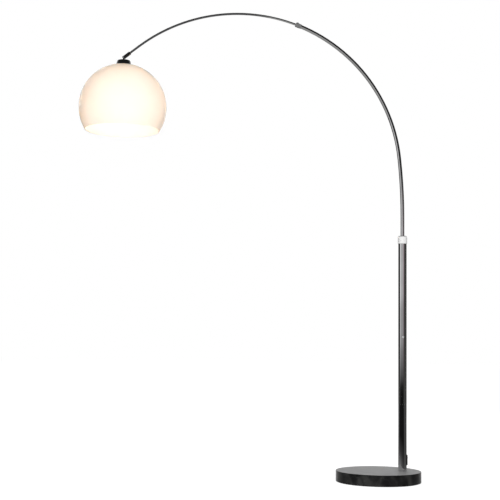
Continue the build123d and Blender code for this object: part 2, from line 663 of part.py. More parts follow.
# Stop on the arm's inner end: it runs in the wider tube and meets the bush when pulled out
with BuildPart() as arm_stop:
    with BuildSketch(arc_plane(stop_back)):
        Circle(arc_tube_bore - STOP_RUN)
    revolve(axis=arc_axis, revolution_arc=arc_turn(STOP_END_WALL + STOP_LENGTH))
    with BuildSketch(arc_plane(ARM_INNER_END)):
        Circle(ARM_RADIUS + SEAT)
    revolve(axis=arc_axis, revolution_arc=arc_turn(2 * STOP_LENGTH), mode=Mode.SUBTRACT)
    with BuildSketch(arc_plane(stop_back - arc_turn(STOP_END_WALL))):
        Circle(FLEX_RADIUS + SEAT)
    revolve(axis=arc_axis, revolution_arc=arc_turn(4 * STOP_END_WALL), mode=Mode.SUBTRACT)
save(arm_stop, "arm_stop")

# Ferrule on the arm's end, forked for the hinge
ferrule_section = Plane(origin=ferrule_start, x_dir=tail_along, z_dir=(0, 1, 0))
ferrule_axis = Axis(ferrule_start, tail_along)
fork_start = FERRULE_LENGTH - HINGE_SETBACK - TONGUE_RADIUS - HINGE_SLOT_SPARE
with BuildPart() as arm_ferrule:
    revolve(outline_face(ferrule_section, [
        (0, ARM_RADIUS + SEAT),
        (0, FERRULE_NOSE_RADIUS),
        (FERRULE_TAPER_LENGTH, FERRULE_RADIUS),
        (FERRULE_LENGTH - FERRULE_EDGE, FERRULE_RADIUS),
        (FERRULE_LENGTH, FERRULE_RADIUS - FERRULE_EDGE),
        (FERRULE_LENGTH, arm_bore),
        (FERRULE_SOCKET, arm_bore),
        (FERRULE_SOCKET, ARM_RADIUS + SEAT),
    ]), axis=ferrule_axis)
    extrude(outline_face(ferrule_section, [
        (fork_start, -FERRULE_RADIUS),
        (fork_start, FERRULE_RADIUS),
        (FERRULE_LENGTH, FERRULE_RADIUS),
        (FERRULE_LENGTH, -FERRULE_RADIUS),
    ]), amount=HINGE_SLOT_WIDTH / 2, both=True, mode=Mode.SUBTRACT)
    with BuildSketch(front_plane(hinge.X, hinge.Z)):
        Circle(PIN_RADIUS + SEAT)
    extrude(amount=FERRULE_RADIUS, both=True, mode=Mode.SUBTRACT)
save(arm_ferrule, "arm_ferrule")

with BuildPart() as hinge_pin:
    with BuildSketch(front_plane(hinge.X, hinge.Z)):
        Circle(PIN_RADIUS)
    extrude(amount=PIN_HALF_LENGTH, both=True)
save(hinge_pin, "hinge_pin")

# Flex in the arm, from the stop to the ferrule's fork
with BuildPart() as arm_flex:
    flex_end = ferrule_start + tail_along * fork_start
    with BuildLine(Plane.XZ):
        CenterArc((arc_x, arc_z), ARC_RADIUS, stop_back, ARM_BEND_END - stop_back)
        Line((tail_start.X, tail_start.Z), (flex_end.X, flex_end.Z))
    with BuildSketch(arc_plane(stop_back)):
        Circle(FLEX_RADIUS)
    sweep()
save(arm_flex, "arm_flex")

# The head hangs under the hinge: heights from the hinge down
head_x = hinge.X
head_axis = Axis((head_x, 0, 0), (0, 0, 1))
head_section = front_plane(head_x, 0)
shoulder_top = hinge.Z - HINGE_TO_SHOULDER
cap_top = shoulder_top - SHOULDER_THICKNESS
cap_ceiling = cap_top - CAP_WALL
cap_rim = cap_top - CAP_HEIGHT
cap_bore = CAP_RIM_RADIUS - CAP_WALL
shade_z = cap_rim - math.sqrt(SHADE_RADIUS**2 - cap_bore**2)
shade_bore = SHADE_RADIUS - SHADE_WALL
flange_bottom = shade_z + math.sqrt(SHADE_RADIUS**2 - SHADE_HOLE_RADIUS**2)
flange_top = flange_bottom + HOLDER_FLANGE
skirt_bottom = flange_bottom - HOLDER_SKIRT
dome_ceiling = cap_ceiling - HOLDER_DOME_CEILING
core_bottom = flange_bottom - CORE_THICKNESS
contact_bottom = core_bottom - CONTACT_HEIGHT
ring_top = shade_z + math.sqrt(shade_bore**2 - SHADE_RING_RADIUS**2)


def head_level(z):
    """The level plane at a height, with its middle on the head's axis."""
    return Plane(origin=(head_x, 0, z), x_dir=(1, 0, 0), z_dir=(0, 0, 1))


# Knuckle: a bossed tongue in the fork, a shoulder on the cap, and a stem into the lampholder
with BuildPart() as head_knuckle:
    with BuildSketch(front_plane(head_x, hinge.Z)):
        Circle(TONGUE_RADIUS)
        with Locations((0, -HINGE_TO_SHOULDER / 2)):
            Rectangle(2 * TONGUE_RADIUS, HINGE_TO_SHOULDER)
    extrude(amount=TONGUE_THICKNESS / 2, both=True)
    with BuildSketch(front_plane(head_x, hinge.Z)):
        Circle(HINGE_BOSS_RADIUS)
    extrude(amount=HINGE_BOSS_WIDTH / 2, both=True)
    with BuildSketch(front_plane(head_x, hinge.Z)):
        Circle(PIN_RADIUS + RUN)
    extrude(amount=HINGE_BOSS_WIDTH, both=True, mode=Mode.SUBTRACT)
    with BuildSketch(head_level(cap_top)):
        Circle(SHOULDER_RADIUS)
    extrude(amount=SHOULDER_THICKNESS)
    with BuildSketch(head_level(dome_ceiling)):
        Circle(STEM_RADIUS)
    extrude(amount=cap_top - dome_ceiling)
    with BuildSketch(head_level(dome_ceiling)):
        with Locations((0, WIRE_WAY_OFFSET), (0, -WIRE_WAY_OFFSET)):
            Circle(WIRE_WAY_RADIUS)
    extrude(amount=shoulder_top - dome_ceiling, mode=Mode.SUBTRACT)
save(head_knuckle, "head_knuckle")

# Cap: a shallow turned cone that covers the hole in the shade's top
with BuildPart() as shade_cap:
    revolve(outline_face(head_section, [
        (cap_bore, cap_rim),
        (CAP_RIM_RADIUS, cap_rim),
        (CAP_TOP_RADIUS, cap_top),
        (STEM_RADIUS + SEAT, cap_top),
        (STEM_RADIUS + SEAT, cap_ceiling),
        (CAP_TOP_RADIUS - CAP_WALL, cap_ceiling),
    ]), axis=head_axis)
    cap_rims = shade_cap.edges().filter_by(GeomType.CIRCLE)
    top_edge = cap_rims.group_by(Axis.Z)[-1].sort_by(SortBy.RADIUS)[-1]
    ceiling_edge = cap_rims.group_by(Axis.Z)[-2].sort_by(SortBy.RADIUS)[-1]
    fillet(top_edge, CAP_ROUNDING)
    fillet(ceiling_edge, CAP_ROUNDING - CAP_WALL)
save(shade_cap, "shade_cap")

# Lampholder body: a dome under the cap, a flange on the shade and a skirt inside it
holder_bore = HOLDER_RADIUS - HOLDER_WALL
with BuildPart() as lampholder_body:
    revolve(outline_face(head_section, [
        (STEM_RADIUS + SEAT, cap_ceiling),
        (HOLDER_DOME_RADIUS, cap_ceiling),
        (HOLDER_RADIUS, flange_top + HOLDER_SHOULDER),
        (HOLDER_RADIUS, flange_top),
        (HOLDER_FLANGE_RADIUS, flange_top),
        (HOLDER_FLANGE_RADIUS, flange_bottom),
        (HOLDER_RADIUS, flange_bottom),
        (HOLDER_RADIUS, skirt_bottom),
        (holder_bore, skirt_bottom),
        (holder_bore, flange_bottom),
        (holder_bore - HOLDER_LEDGE, flange_bottom),
        (holder_bore - HOLDER_LEDGE, dome_ceiling),
        (STEM_RADIUS + SEAT, dome_ceiling),
    ]), axis=head_axis)
save(lampholder_body, "lampholder_body")

# Ceramic core with its two terminal holes
with BuildPart() as lampholder_core:
    with BuildSketch(head_level(core_bottom)):
        Circle(holder_bore - SEAT)
        with Locations((0, CORE_TERMINAL_OFFSET), (0, -CORE_TERMINAL_OFFSET)):
            Circle(CORE_TERMINAL_RADIUS, mode=Mode.SUBTRACT)
    extrude(amount=CORE_THICKNESS)
save(lampholder_core, "lampholder_core")

with BuildPart() as centre_contact:
    with BuildSketch(head_level(contact_bottom)):
        Circle(CONTACT_RADIUS)
    extrude(amount=CONTACT_HEIGHT)
save(centre_contact, "centre_contact")

# Brass shell that the bulb screws into
with BuildPart() as screw_shell:
    shell_bore = BULB_CAP_RADIUS + BULB_CAP_CLEARANCE
    with BuildSketch(head_level(core_bottom)):
        Circle(shell_bore + SCREW_SHELL_WALL)
        Circle(shell_bore, mode=Mode.SUBTRACT)
    extrude(amount=-SCREW_SHELL_LENGTH)
save(screw_shell, "screw_shell")

# Ring that screws up the skirt and holds the shade against the flange
with BuildPart() as shade_ring:
    with BuildSketch(head_level(ring_top - SHADE_RING_HEIGHT)):
        Circle(SHADE_RING_RADIUS)
        Circle(HOLDER_RADIUS + SEAT, mode=Mode.SUBTRACT)
        with PolarLocations(SHADE_RING_RADIUS, SHADE_RING_GRIPS):
            Circle(SHADE_RING_GRIP_RADIUS, mode=Mode.SUBTRACT)
    extrude(amount=SHADE_RING_HEIGHT)
save(shade_ring, "shade_ring")

# Globe shade: a thin sphere, holed at the top and cut off level for its mouth
with BuildPart() as shade:
    with BuildSketch(front_plane(head_x, shade_z)):
        Circle(SHADE_RADIUS)
        Circle(shade_bore, mode=Mode.SUBTRACT)
        with Locations((SHADE_HOLE_RADIUS, -SHADE_MOUTH_DROP)):
            Rectangle(
                SHADE_RADIUS,
                SHADE_RADIUS + SHADE_MOUTH_DROP,
                align=(Align.MIN, Align.MIN),
                mode=Mode.INTERSECT,
            )
    revolve(axis=head_axis)
    mouth_face = shade.faces().filter_by(GeomType.PLANE).sort_by(Axis.Z)[0]
    fillet(mouth_face.edges(), SHADE_LIP_ROUNDING)
save(shade, "shade")

# Bulb: a screw cap and a frosted glass globe
bulb_cap_end = contact_bottom - BULB_CAP_LENGTH
bulb_z = bulb_cap_end - BULB_DROP
bulb_neck = BULB_CAP_RADIUS - BULB_CAP_WALL - SEAT
tip_base = contact_bottom - BULB_TIP_HEIGHT
cap_shell_top = tip_base - BULB_INSULATOR_HEIGHT
with BuildPart() as bulb_cap:
    revolve(outline_face(head_section, [
        (0, contact_bottom),
        (BULB_TIP_RADIUS, contact_bottom),
        (BULB_INSULATOR_RADIUS, tip_base),
        (BULB_CAP_RADIUS, cap_shell_top),
        (BULB_CAP_RADIUS, bulb_cap_end),
        (BULB_CAP_RADIUS - BULB_CAP_WALL, bulb_cap_end),
        (BULB_CAP_RADIUS - BULB_CAP_WALL, cap_shell_top - BULB_CAP_WALL),
        (0, cap_shell_top - BULB_CAP_WALL),
    ]), axis=head_axis)
save(bulb_cap, "bulb_cap")


def bulb_skin(globe, neck, blend):
    """Draw one skin of the bulb: neck, hollow blend and globe, each tangent to the next."""
    blend_x = neck + blend
    blend_rise = math.sqrt((globe + blend) ** 2 - blend_x**2)
    lift = math.degrees(math.atan2(blend_rise, blend_x))
    Line((neck, bulb_cap_end + BULB_NECK_OVERLAP), (neck, bulb_z + blend_rise))
    CenterArc((blend_x, bulb_z + blend_rise), blend, 180, lift)
    CenterArc((0, bulb_z), globe, lift, -90 - lift)


with BuildPart() as bulb_glass:
    with BuildSketch(head_section) as bulb_wall:
        with BuildLine():
            bulb_skin(BULB_RADIUS, bulb_neck, BULB_BLEND_RADIUS)
            bulb_skin(BULB_RADIUS - BULB_WALL, bulb_neck - BULB_WALL, BULB_BLEND_RADIUS + BULB_WALL)
            neck_top = bulb_cap_end + BULB_NECK_OVERLAP
            Line((bulb_neck, neck_top), (bulb_neck - BULB_WALL, neck_top))
            Line((0, bulb_z - BULB_RADIUS), (0, bulb_z - BULB_RADIUS + BULB_WALL))
        make_face()
    revolve(axis=head_axis)
save(bulb_glass, "bulb_glass")
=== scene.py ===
import json
import math
import random

import bmesh
import bpy
from mathutils import Matrix, Vector


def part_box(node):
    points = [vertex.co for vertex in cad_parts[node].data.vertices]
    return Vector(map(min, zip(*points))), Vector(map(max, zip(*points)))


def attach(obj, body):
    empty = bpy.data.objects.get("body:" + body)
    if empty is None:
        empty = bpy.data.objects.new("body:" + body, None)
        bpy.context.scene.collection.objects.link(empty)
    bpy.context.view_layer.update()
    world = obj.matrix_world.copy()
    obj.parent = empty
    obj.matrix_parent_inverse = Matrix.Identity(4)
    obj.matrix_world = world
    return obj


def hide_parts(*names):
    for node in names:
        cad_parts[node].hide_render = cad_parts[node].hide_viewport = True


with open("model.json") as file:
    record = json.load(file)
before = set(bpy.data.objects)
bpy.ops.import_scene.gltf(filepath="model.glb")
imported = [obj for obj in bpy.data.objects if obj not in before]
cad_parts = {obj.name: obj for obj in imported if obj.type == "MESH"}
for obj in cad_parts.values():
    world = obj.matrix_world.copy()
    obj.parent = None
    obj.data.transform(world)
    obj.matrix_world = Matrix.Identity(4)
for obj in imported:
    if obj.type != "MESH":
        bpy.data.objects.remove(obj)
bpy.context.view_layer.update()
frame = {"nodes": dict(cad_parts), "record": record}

# Arc floor lamp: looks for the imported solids, a plain studio and the photograph's camera.
# Metres, +Z up. The pole stands at +X, the arm reaches towards -X and the camera looks along +Y.

# Camera
CAMERA_PLACE = Vector((-0.5442, -4.5984, 0.5531))
CAMERA_PITCH = math.radians(5.045)
CAMERA_ROLL = math.radians(0.707)
CAMERA_LENS = 78.65                     # mm, on a 36 mm sensor

# Studio
AMBIENT = 0.32                          # the world's light on matt surfaces
KEY_POWER = 116.0                       # W, as the other two are
KEY_SIZE = 2.0
KEY_PLACE = (-0.45, -4.2, 1.9)
FILL_POWER = 3.0
FILL_SIZE = 2.2
FILL_PLACE = (2.6, -3.8, 1.8)
BACK_POWER = 90.0
BACK_SIZE = 2.2
BACK_PLACE = (-1.2, 4.4, 2.2)
LIGHT_AIM = Vector((-0.5, 0.0, 0.9))
FLOOR_SIZE = 40.0
FLOOR_DROP = 0.0004                     # keeps the floor just under the felt
FLOOR_GLOW = 0.9                        # the floor's white that no shadow dims
FLOOR_BOUNCE = 0.35                     # the light that the floor sends back up
FLOOR_COLOUR = (0.34, 0.34, 0.34)

# Surround, seen only in reflections: a wall round the pole, a dark ceiling and two level cards
SURROUND_RADIUS = 6.5
SURROUND_HEIGHT = 6.0
SURROUND_SIDES = 96
WALL_DARK = (0.06, 0.06, 0.057)         # at the sides
WALL_HIGH = (0.025, 0.025, 0.025)       # at the sides, above the lit part
WALL_BLACK = (0.008, 0.008, 0.008)      # in front, where it isn't lit, and beside the bright band
WALL_BACK = (0.9, 0.9, 0.9)             # behind the lamp
WALL_BRIGHT = (0.9, 0.9, 0.9)           # a band in front, on the left
WALL_GREY = (0.5, 0.5, 0.5)             # the middle of the front
WALL_ROSE = (0.40, 0.33, 0.35)          # a band in front, on the right
CEILING = (0.022, 0.022, 0.022)
FLOOR_CARD_RISE = 0.0002                # above the floor
FLOOR_CARD_PLACE = (-0.5, -0.1, 0.0)    # the middle of its lighter patch, from the pole
FLOOR_CARD_REACH = 2.0                  # how far that patch goes from its middle
FLOOR_CARD_STOPS = (                    # metres from that middle, and how light it is there
    (0.0, 0.25), (0.25, 0.19), (0.5, 0.115), (0.75, 0.075), (1.0, 0.04), (1.5, 0.024), (2.0, 0.01))
FLOOR_CARD_SIDES = 0.055                # how much lighter it is beside and behind the pole
FLOOR_CARD_EDGE = (-0.25, 0.25)         # where that starts and is whole, back from the pole
FLOOR_CARD_TURN = 1.2                   # how much further forward that comes, per metre to the right
FLOOR_CARD_REAR = 0.42                  # how much lighter it is far behind the pole
FLOOR_CARD_REAR_EDGE = (0.3, 1.4)       # where that starts and is whole, straight back
FLOOR_CARD_REAR_TURN = 1.0              # how much further back that lies, per metre to either side
ARM_CARD = (0.34, 0.34, 0.33)
ARM_CARD_HEIGHT = 0.553                 # level with the camera, so that the pole shows only its edge
ARM_CARD_LOW = (-4.5, -6.0)             # its corners, from the pole
ARM_CARD_HIGH = (-0.9, 1.0)

# Lamp
BULB_STRENGTH = 45.5
BULB_COLOUR = (1.0, 0.89, 0.88)
BULB_NECK_COLOUR = (0.02, 0.017, 0.014)
BULB_LIT_TO = 0.7                       # it is fully lit up to this share of its globe's middle
BULB_DARK_FROM = 1.2                    # and unlit from this share of it upwards

# Stone
STONE_CUT = (1.1, 0.6, 0.2)             # which part of the endless clouding the disc is cut from

# Felt
FELT_SIDES = 360
FELT_FUZZ = 0.0003                      # how far its fibres stand out of the edge, or fall short of it
FELT_SEED = 7
FELT_RING = 0.5                         # a ring under it, as a share of its radius
FELT_EDGE = 0.996                       # where its edge starts to bulge, as a share of its radius
FELT_BULGE = 0.3                        # how far up its thickness the bulge is full


def start_material(name):
    """A new material, its node tree and its Principled shader."""
    material = bpy.data.materials.new(name)
    material.use_nodes = True
    tree = material.node_tree
    return material, tree, tree.nodes["Principled BSDF"]


def settle(shader, **values):
    """Set constants on the shader's own sockets, named with _ for each space."""
    for name, value in values.items():
        shader.inputs[name.replace("_", " ")].default_value = value


def feed(tree, node, **sources):
    """Link results to a node's sockets, named with _ for each space."""
    for name, source in sources.items():
        tree.links.new(source, node.inputs[name.replace("_", " ")])


def noise(tree, scale, detail=3.0, stretch=(1, 1, 1), distortion=0.0, shift=(0, 0, 0)):
    """Noise of about 1/scale metres on the piece's own coordinates, which stay with it as it moves."""
    place = tree.nodes.new("ShaderNodeTexCoord")
    mapping = tree.nodes.new("ShaderNodeMapping")
    texture = tree.nodes.new("ShaderNodeTexNoise")
    mapping.inputs["Location"].default_value = shift
    mapping.inputs["Scale"].default_value = stretch
    texture.inputs["Scale"].default_value = scale
    texture.inputs["Detail"].default_value = detail
    texture.inputs["Distortion"].default_value = distortion
    feed(tree, mapping, Vector=place.outputs["Object"])
    feed(tree, texture, Vector=mapping.outputs["Vector"])
    return texture.outputs["Fac"]


def colours(tree, factor, *stops):
    """A colour ramp through (position, colour) stops, first to last."""
    ramp = tree.nodes.new("ShaderNodeValToRGB")
    elements = ramp.color_ramp.elements
    elements[0].position = stops[0][0]
    elements[0].color = (*stops[0][1], 1)
    elements[1].position = stops[-1][0]
    elements[1].color = (*stops[-1][1], 1)
    for position, colour in stops[1:-1]:
        elements.new(position).color = (*colour, 1)
    feed(tree, ramp, Fac=factor)
    return ramp.outputs["Color"]


def spread(tree, factor, low, high, start=0.32, end=0.68):
    """Map a value from start..end, by default a noise's usual range, to low..high."""
    node = tree.nodes.new("ShaderNodeMapRange")
    node.inputs["From Min"].default_value = start
    node.inputs["From Max"].default_value = end
    node.inputs["To Min"].default_value = low
    node.inputs["To Max"].default_value = high
    feed(tree, node, Value=factor)
    return node.outputs["Result"]


def combine(tree, method, first, second):
    """Put two colours together by a blend method."""
    node = tree.nodes.new("ShaderNodeMix")
    node.data_type = "RGBA"
    node.blend_type = method
    node.inputs["Factor"].default_value = 1.0
    feed(tree, node, A=first, B=second)
    return node.outputs["Result"]


def fade(tree, factor, first, second):
    """Go from the first colour to the second as the factor goes from 0 to 1."""
    node = tree.nodes.new("ShaderNodeMix")
    node.data_type = "RGBA"
    feed(tree, node, Factor=factor, A=first, B=second)
    return node.outputs["Result"]


def bump(tree, shader, height, distance, strength=0.5):
    """Give the shader a fine relief of about that depth in metres."""
    node = tree.nodes.new("ShaderNodeBump")
    node.inputs["Distance"].default_value = distance
    node.inputs["Strength"].default_value = strength
    feed(tree, node, Height=height)
    feed(tree, shader, Normal=node.outputs["Normal"])


def calculate(tree, operation, *values):
    """A Math node's result from sockets and plain numbers."""
    node = tree.nodes.new("ShaderNodeMath")
    node.operation = operation
    for place, value in enumerate(values):
        if isinstance(value, float):
            node.inputs[place].default_value = value
        else:
            tree.links.new(value, node.inputs[place])
    return node.outputs["Value"]


def grey(value):
    """A neutral colour."""
    return (value, value, value)


def own_coordinates(tree):
    """The surface's own X, Y and Z as separate values."""
    place = tree.nodes.new("ShaderNodeTexCoord")
    parts = tree.nodes.new("ShaderNodeSeparateXYZ")
    feed(tree, parts, Vector=place.outputs["Object"])
    return parts.outputs


# Materials of the stand

def felt():
    """Pressed dark wool under the base."""
    material, tree, shader = start_material("felt")
    fibres = noise(tree, 1400, 6, distortion=1.5)
    tint = colours(tree, fibres, (0.3, grey(0.018)), (0.7, (0.052, 0.052, 0.056)))
    feed(tree, shader, Base_Color=tint)
    settle(shader, Roughness=0.95, Specular_IOR_Level=0.15, Sheen_Weight=0.4, Sheen_Roughness=0.6)
    bump(tree, shader, fibres, 0.0006, 0.9)
    return material


def marble():
    """Honed black stone with soft grey clouding, a few faint veins and fine crystals."""
    material, tree, shader = start_material("marble")
    clouds = colours(tree, noise(tree, 16, 6, distortion=0.4, shift=STONE_CUT),
                     (0.36, grey(0.002)), (0.5, grey(0.011)), (0.62, (0.034, 0.0335, 0.032)))
    veins = colours(tree, noise(tree, 7, 9, distortion=1.4),
                    (0.488, grey(0.0)), (0.5, (0.016, 0.016, 0.0155)), (0.512, grey(0.0)))
    crystals = colours(tree, noise(tree, 900, 2), (0.66, grey(0.0)), (0.74, grey(0.03)))
    stone = combine(tree, "ADD", combine(tree, "ADD", clouds, veins), crystals)
    polish = spread(tree, noise(tree, 24, 5), 0.40, 0.48)
    feed(tree, shader, Base_Color=stone, Roughness=polish)
    settle(shader, IOR=1.35, Sheen_Weight=0.75, Sheen_Roughness=0.25)
    bump(tree, shader, noise(tree, 700, 3), 0.00004, 0.3)
    return material


def chrome():
    """Bright plating on drawn tube: faint smudges, and a slight waviness along the tube."""
    material, tree, shader = start_material("chrome")
    smudges = noise(tree, 16, 6, distortion=0.8)
    tint = colours(tree, smudges, (0.3, (0.66, 0.66, 0.67)), (0.7, (0.75, 0.75, 0.76)))
    feed(tree, shader, Base_Color=tint, Roughness=spread(tree, smudges, 0.015, 0.05))
    settle(shader, Metallic=1.0)
    bump(tree, shader, noise(tree, 60, 2), 0.00004, 0.25)
    return material


def white_plastic():
    """Glossy white moulding with a trace of grey handling."""
    material, tree, shader = start_material("white_plastic")
    handling = noise(tree, 70, 5)
    tint = colours(tree, handling, (0.3, (0.88, 0.88, 0.88)), (0.6, (0.93, 0.93, 0.925)))
    feed(tree, shader, Base_Color=tint, Roughness=spread(tree, handling, 0.18, 0.32))
    settle(shader, Coat_Weight=1.0, Coat_Roughness=0.05)
    bump(tree, shader, noise(tree, 1500, 2), 0.00002, 0.3)
    return material


def black_plastic():
    """Satin black moulding with a fine spark-eroded grain."""
    material, tree, shader = start_material("black_plastic")
    grain = noise(tree, 2600, 2)
    tint = colours(tree, noise(tree, 120, 5), (0.3, grey(0.010)), (0.7, grey(0.024)))
    feed(tree, shader, Base_Color=tint, Roughness=spread(tree, grain, 0.34, 0.5))
    bump(tree, shader, grain, 0.00006, 0.5)
    return material


def rubber():
    """Matt black rubber, dulled by dust."""
    material, tree, shader = start_material("rubber")
    dust = noise(tree, 220, 5)
    tint = colours(tree, dust, (0.35, grey(0.014)), (0.75, grey(0.045)))
    feed(tree, shader, Base_Color=tint, Roughness=spread(tree, dust, 0.62, 0.85))
    bump(tree, shader, noise(tree, 1800, 3), 0.00005, 0.5)
    return material


def zinc_steel():
    """Bright zinc plating, bluish with a mottled spangle."""
    material, tree, shader = start_material("zinc_steel")
    spangle = noise(tree, 260, 4, distortion=1.0)
    tint = colours(tree, spangle, (0.3, (0.66, 0.68, 0.71)), (0.7, (0.84, 0.84, 0.83)))
    feed(tree, shader, Base_Color=tint, Roughness=spread(tree, spangle, 0.34, 0.5))
    settle(shader, Metallic=0.35)
    bump(tree, shader, noise(tree, 900, 3), 0.00003, 0.4)
    return material


# Materials of the arm

def satin_steel():
    """Bead-blasted steel of the clamp and its screw."""
    material, tree, shader = start_material("satin_steel")
    blast = noise(tree, 2200, 2)
    tint = colours(tree, noise(tree, 150, 4), (0.3, grey(0.24)), (0.7, grey(0.30)))
    feed(tree, shader, Base_Color=tint, Roughness=spread(tree, blast, 0.42, 0.54))
    settle(shader, Metallic=0.4)
    bump(tree, shader, blast, 0.00003, 0.4)
    return material


def nylon():
    """Natural nylon of the guide, bushes and stop, polished where it slides."""
    material, tree, shader = start_material("nylon")
    wear = noise(tree, 90, 5)
    tint = colours(tree, wear, (0.3, (0.70, 0.69, 0.64)), (0.7, (0.80, 0.79, 0.75)))
    feed(tree, shader, Base_Color=tint, Roughness=spread(tree, wear, 0.4, 0.6))
    bump(tree, shader, noise(tree, 1600, 2), 0.00003, 0.3)
    return material


def flex():
    """Grey sheathed flex with slight scuffs along its length."""
    material, tree, shader = start_material("flex")
    scuffs = noise(tree, 300, 4)
    tint = colours(tree, scuffs, (0.3, (0.50, 0.50, 0.48)), (0.7, (0.62, 0.62, 0.60)))
    feed(tree, shader, Base_Color=tint, Roughness=spread(tree, scuffs, 0.5, 0.7))
    bump(tree, shader, noise(tree, 1400, 2), 0.00004, 0.4)
    return material


# Materials of the head

def black_enamel():
    """Stoved gloss black with a slight orange peel and a film of dust."""
    material, tree, shader = start_material("black_enamel")
    dust = noise(tree, 130, 6)
    tint = colours(tree, dust, (0.4, grey(0.006)), (0.75, grey(0.016)))
    feed(tree, shader, Base_Color=tint, Roughness=spread(tree, dust, 0.12, 0.24))
    settle(shader, Coat_Weight=0.5, Coat_Roughness=0.06, Sheen_Weight=1.0, Sheen_Roughness=0.34)
    bump(tree, shader, noise(tree, 420, 2), 0.00005, 0.25)
    return material


def bakelite():
    """Brown-black phenolic moulding with a faint flow pattern."""
    material, tree, shader = start_material("bakelite")
    flow = noise(tree, 110, 7, distortion=2.0)
    tint = colours(tree, flow, (0.3, (0.012, 0.010, 0.009)), (0.7, (0.040, 0.033, 0.028)))
    feed(tree, shader, Base_Color=tint, Roughness=spread(tree, flow, 0.2, 0.34))
    bump(tree, shader, noise(tree, 800, 2), 0.00003, 0.3)
    return material


def ceramic():
    """Unglazed porcelain core, slightly stained."""
    material, tree, shader = start_material("ceramic")
    stain = noise(tree, 160, 6)
    tint = colours(tree, stain, (0.3, (0.74, 0.71, 0.65)), (0.65, (0.86, 0.84, 0.79)))
    feed(tree, shader, Base_Color=tint, Roughness=spread(tree, stain, 0.55, 0.75))
    bump(tree, shader, noise(tree, 1900, 3), 0.00005, 0.4)
    return material


def brass():
    """Plain brass contacts with light tarnish."""
    material, tree, shader = start_material("brass")
    tarnish = noise(tree, 190, 6)
    tint = colours(tree, tarnish, (0.35, (0.48, 0.35, 0.17)), (0.6, (0.76, 0.58, 0.30)))
    feed(tree, shader, Base_Color=tint, Roughness=spread(tree, tarnish, 0.22, 0.42))
    settle(shader, Metallic=1.0)
    bump(tree, shader, noise(tree, 1100, 2), 0.00003, 0.3)
    return material


def bulb_cap_metal():
    """Rolled aluminium of the bulb's cap, with rolling lines round it."""
    material, tree, shader = start_material("bulb_cap_metal")
    rolling = noise(tree, 900, 3, stretch=(0.15, 0.15, 1.0))
    tint = colours(tree, rolling, (0.3, grey(0.56)), (0.7, grey(0.72)))
    feed(tree, shader, Base_Color=tint, Roughness=spread(tree, rolling, 0.22, 0.36))
    settle(shader, Metallic=1.0)
    bump(tree, shader, rolling, 0.00004, 0.4)
    return material


def opal_acrylic():
    """Opal shell that carries the bulb's light through its wall, with a gloss skin."""
    material, tree, shader = start_material("opal_acrylic")
    milk = noise(tree, 11, 4)
    tint = colours(tree, milk, (0.3, (0.94, 0.90, 0.85)), (0.7, (0.955, 0.915, 0.87)))
    feed(tree, shader, Base_Color=tint, Roughness=spread(tree, noise(tree, 40, 5), 0.52, 0.58))
    settle(shader, IOR=1.45, Coat_Weight=1.0, Coat_Roughness=0.08, Coat_IOR=1.12)
    settle(shader, Coat_Tint=(1.0, 0.955, 0.895, 1.0))
    settle(shader, Subsurface_Weight=1.0, Subsurface_Radius=(1.0, 0.9, 0.8), Subsurface_Scale=0.0095)
    bump(tree, shader, noise(tree, 18, 2), 0.0001, 0.2)
    return material


def frosted_glass():
    """Lit bulb: a frosted globe that shines mostly from its lower half."""
    material, tree, shader = start_material("frosted_glass")
    frost = noise(tree, 600, 3)
    tint = colours(tree, frost, (0.3, (0.90, 0.88, 0.83)), (0.7, (0.95, 0.93, 0.89)))
    low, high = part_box("bulb_glass")
    height = spread(tree, own_coordinates(tree)["Z"], 0.0, 1.0, low.z, high.z)
    middle = (high.x - low.x) / 2 / (high.z - low.z)
    glow = colours(tree, height, (0.0, BULB_COLOUR), (middle * BULB_LIT_TO, BULB_COLOUR),
                   (middle * BULB_DARK_FROM, BULB_NECK_COLOUR))
    uneven = colours(tree, noise(tree, 30, 2), (0.3, grey(0.94)), (0.7, grey(1.0)))
    feed(tree, shader, Base_Color=tint, Emission_Color=combine(tree, "MULTIPLY", glow, uneven))
    settle(shader, Emission_Strength=BULB_STRENGTH, Roughness=0.6)
    bump(tree, shader, frost, 0.00002, 0.4)
    return material


# Every solid takes the finish that its row in the record names
finishes = {
    make.__name__: make()
    for make in (
        felt, marble, chrome, white_plastic, black_plastic, rubber, zinc_steel,
        satin_steel, nylon, flex, black_enamel, bakelite, ceramic, brass,
        bulb_cap_metal, opal_acrylic, frosted_glass,
    )
}
for row in frame["record"]["subparts"]:
    solid = frame["nodes"][row["node"]]
    for slot in solid.material_slots:
        slot.material = finishes[row["material_slot"]]


def add_object(name, shape, material):
    """Put a bmesh into the scene as an object of one material."""
    mesh = bpy.data.meshes.new(name)
    shape.to_mesh(mesh)
    shape.free()
    mesh.materials.append(material)
    added = bpy.data.objects.new(name, mesh)
    bpy.context.scene.collection.objects.link(added)
    return added


# Felt under the base: a pressed disc with a soft, fibrous edge

